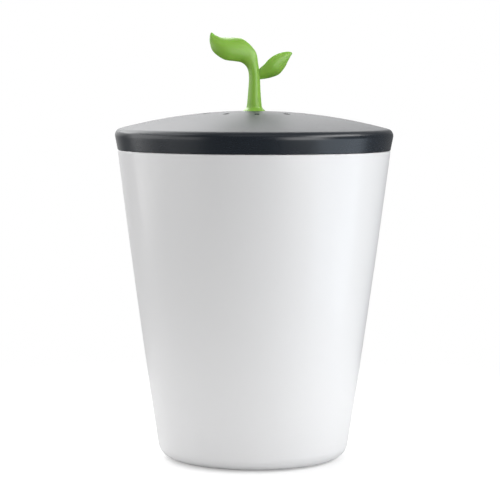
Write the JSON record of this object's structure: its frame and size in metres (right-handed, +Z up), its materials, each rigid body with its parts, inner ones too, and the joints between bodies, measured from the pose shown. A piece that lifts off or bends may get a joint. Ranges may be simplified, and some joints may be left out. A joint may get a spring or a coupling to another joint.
{
  "type": "kitchen compost bin",
  "caption": "Tapered countertop compost bin with a lift-out bucket, a swinging bail, a domed lid with a sprout-shaped handle and carbon filters behind a bayonet cover.",
  "frame": {"origin": "centre of the base, on the surface that the bin stands on", "axes": "+Z up along the bin's axis, -Y to the front, +X to the right, towards the small leaf"},
  "size_m": [0.19, 0.19, 0.2917],
  "materials": {
    "bin_plastic": "satin gloss",
    "pad_silicone": "matt",
    "bucket_plastic": "satin",
    "bail_plastic": "satin",
    "lid_plastic": "satin",
    "gasket_silicone": "matt",
    "filter_felt": "matt felt",
    "cover_plastic": "satin",
    "sprout_plastic": "satin",
    "fixing_steel": "zinc plated"
  },
  "bodies": {
    "bin": {"outer_bin": "bin_plastic", "foot_pads": "pad_silicone"},
    "bucket": {"inner_bucket": "bucket_plastic"},
    "bail": {"bucket_bail": "bail_plastic"},
    "lid": {"lid_shell": "lid_plastic", "lid_gasket": "gasket_silicone", "carbon_filter_lower": "filter_felt", "carbon_filter_upper": "filter_felt", "sprout_handle": "sprout_plastic", "handle_screw": "fixing_steel", "handle_washer": "fixing_steel"},
    "cover": {"filter_cover": "cover_plastic"}
  },
  "joints": [
    {"name": "bucket_lift", "type": "slide", "parent": "bin", "child": "bucket", "axis": [0, 0, 1], "range_m": [0, 0.22]},
    {"name": "lid_lift", "type": "slide", "parent": "bucket", "child": "lid", "axis": [0, 0, 1], "range_m": [0, 0.25]},
    {"name": "bail_swing", "type": "hinge", "parent": "bucket", "child": "bail", "pos_m": [0, 0, 0.1976], "axis": [-1, 0, 0], "range_deg": [0, 180]},
    {"name": "cover_twist", "type": "hinge", "parent": "lid", "child": "cover", "pos_m": [0, 0, 0.2117], "axis": [0, 0, -1], "range_deg": [0, 30]}
  ],
  "couplings": [
    {"joint": "bail_swing", "follows": "lid_lift", "rad_per_m": 12.566}
  ]
}
